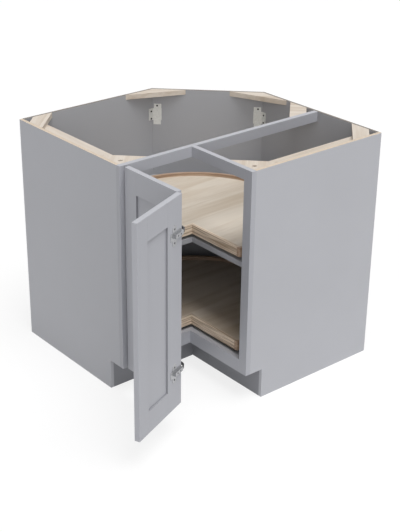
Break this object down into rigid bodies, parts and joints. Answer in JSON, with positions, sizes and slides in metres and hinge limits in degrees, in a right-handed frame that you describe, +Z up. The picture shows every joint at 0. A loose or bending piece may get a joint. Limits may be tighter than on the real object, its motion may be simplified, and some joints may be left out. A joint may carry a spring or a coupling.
{
  "type": "corner carousel cabinet",
  "caption": "Corner base cabinet with turning trays, an open braced top, a toe space and folding doors hinged on the left.",
  "frame": {"origin": "corner of the room at floor level, where the planes of the two wall faces meet; the cabinet's own rear corner is cut off, so the point lies just outside the solids", "axes": "+Z up; +Y out of the rear face, towards the rear wall; -X out of the left wall face; the cabinet runs along +X and -Y"},
  "size_m": [1.0067, 1.1497, 0.8763],
  "materials": {
    "grey_side": "satin grey paint, end panels",
    "grey_frame": "satin grey paint, face frame and stretcher",
    "grey_door": "satin grey paint, doors",
    "grey_inside": "satin grey inside faces with raw top edges",
    "toe_dark": "darker grey toe boards",
    "birch": "pale unfinished hardwood",
    "tray_floor": "pale streaked wood grain",
    "tray_edge": "brown wood grain edge",
    "steel": "zinc-plated steel"
  },
  "bodies": {
    "cabinet": {"left_end_panel": "grey_side", "right_end_panel": "grey_side", "left_back_panel": "grey_inside", "rear_back_panel": "grey_inside", "diagonal_back_panel": "grey_inside", "floor_panel": "grey_inside", "fixed_shelf": "grey_inside", "support_strips": "birch", "left_toe_board": "toe_dark", "right_toe_board": "toe_dark", "left_stile": "grey_frame", "right_stile": "grey_frame", "left_top_rail": "grey_frame", "right_top_rail": "grey_frame", "left_bottom_rail": "grey_frame", "right_bottom_rail": "grey_frame", "stretcher": "grey_frame", "left_cleat": "birch", "right_cleat": "birch", "left_front_block": "birch", "right_front_block": "birch", "left_rear_block": "birch", "right_rear_block": "birch", "stretcher_block": "birch", "left_diagonal_block": "birch", "right_diagonal_block": "birch", "left_corner_clip": "steel", "right_corner_clip": "steel", "door_hinge_arms": "steel", "upper_bearing_base": "steel", "lower_bearing_base": "steel", "bearing_balls": "steel"},
    "left_door": {"left_door_outer_stile": "grey_door", "left_door_fold_stile": "grey_door", "left_door_rails": "grey_door", "left_door_panel": "grey_door", "door_hinge_cups": "steel", "fold_hinge_cups": "steel"},
    "right_door": {"right_door_outer_stile": "grey_door", "right_door_fold_stile": "grey_door", "right_door_rails": "grey_door", "right_door_panel": "grey_door", "fold_hinge_arms": "steel"},
    "door_links": {"door_hinge_links": "steel"},
    "fold_links": {"fold_hinge_links": "steel"},
    "upper_tray": {"upper_tray_floor": "tray_floor", "upper_tray_rim": "tray_edge", "upper_tray_lips": "tray_edge", "upper_bearing_plate": "steel"},
    "lower_tray": {"lower_tray_floor": "tray_floor", "lower_tray_rim": "tray_edge", "lower_tray_lips": "tray_edge", "lower_bearing_plate": "steel"}
  },
  "joints": [
    {"name": "left_door_hinge", "type": "hinge", "parent": "cabinet", "child": "left_door", "pos_m": [0.6262, -0.8935, 0.4993], "axis": [0, 0, -1], "range_deg": [-90, 20]},
    {"name": "door_fold", "type": "hinge", "parent": "left_door", "child": "right_door", "pos_m": [0.8871, -0.8999, 0.4993], "axis": [0, 0, 1], "range_deg": [-22.1, 5]},
    {"name": "fold_link_turn", "type": "hinge", "parent": "left_door", "child": "fold_links", "pos_m": [0.8871, -0.8999, 0.4993], "axis": [0, 0, 1], "range_deg": [-11.1, 2.6]},
    {"name": "door_link_slide", "type": "slide", "parent": "cabinet", "child": "door_links", "axis": [1, 0, 0], "range_m": [-0.0273, 0.0062]},
    {"name": "upper_tray_spin", "type": "hinge", "parent": "cabinet", "child": "upper_tray", "pos_m": [0.475, -0.475, 0.536], "axis": [0, 0, 1], "range_deg": [-360, 360]},
    {"name": "lower_tray_spin", "type": "hinge", "parent": "cabinet", "child": "lower_tray", "pos_m": [0.475, -0.475, 0.1723], "axis": [0, 0, 1], "range_deg": [-360, 360]}
  ],
  "couplings": [
    {"joint": "door_fold", "follows": "left_door_hinge", "ratio": 0.24444},
    {"joint": "fold_link_turn", "follows": "left_door_hinge", "ratio": 0.12222},
    {"joint": "door_link_slide", "follows": "left_door_hinge", "m_per_rad": 0.017316}
  ]
}
